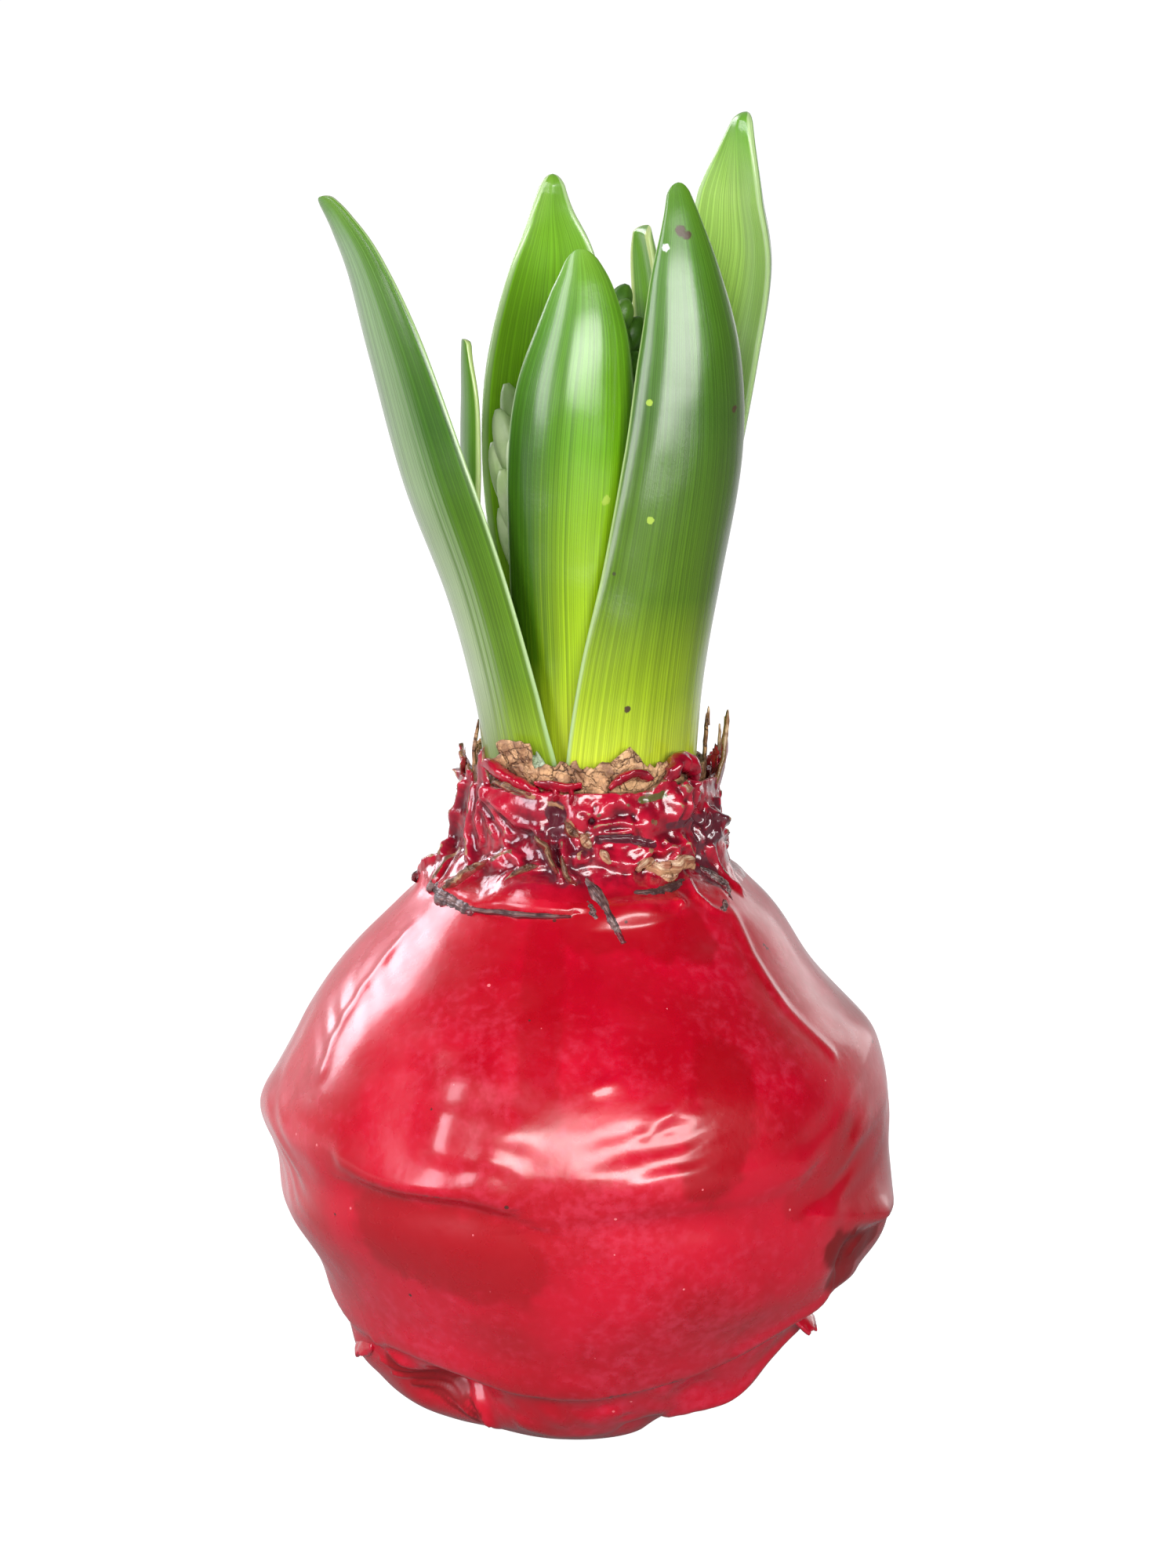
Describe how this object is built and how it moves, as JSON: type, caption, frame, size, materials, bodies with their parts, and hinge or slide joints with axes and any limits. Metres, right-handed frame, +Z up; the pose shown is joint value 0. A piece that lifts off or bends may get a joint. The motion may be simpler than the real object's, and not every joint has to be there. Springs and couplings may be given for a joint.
{
  "type": "waxed hyacinth bulb",
  "caption": "Hyacinth bulb dipped in wax with a flat resting spot, sprouting thick rolled leaves round a tight flower spike in bud.",
  "frame": {"origin": "middle of the flat resting spot under the wax foot", "axes": "+Z straight up along the plant's height, -Y towards the front, +X to the viewer's right"},
  "size_m": [0.0708, 0.0698, 0.1472],
  "materials": {
    "red_wax": "gloss",
    "tunic": "matte",
    "leaf": "satin",
    "inner_leaf": "satin",
    "flower_buds": "satin"
  },
  "bodies": {
    "root": {"wax_coat": "red_wax", "bulb": "tunic", "leaf_left": "leaf", "leaf_right": "leaf", "leaf_front": "leaf", "leaf_back_left": "leaf", "leaf_back_right": "leaf", "leaf_inner_right": "inner_leaf", "leaf_inner_left": "inner_leaf", "flower_spike": "flower_buds"}
  },
  "joints": []
}
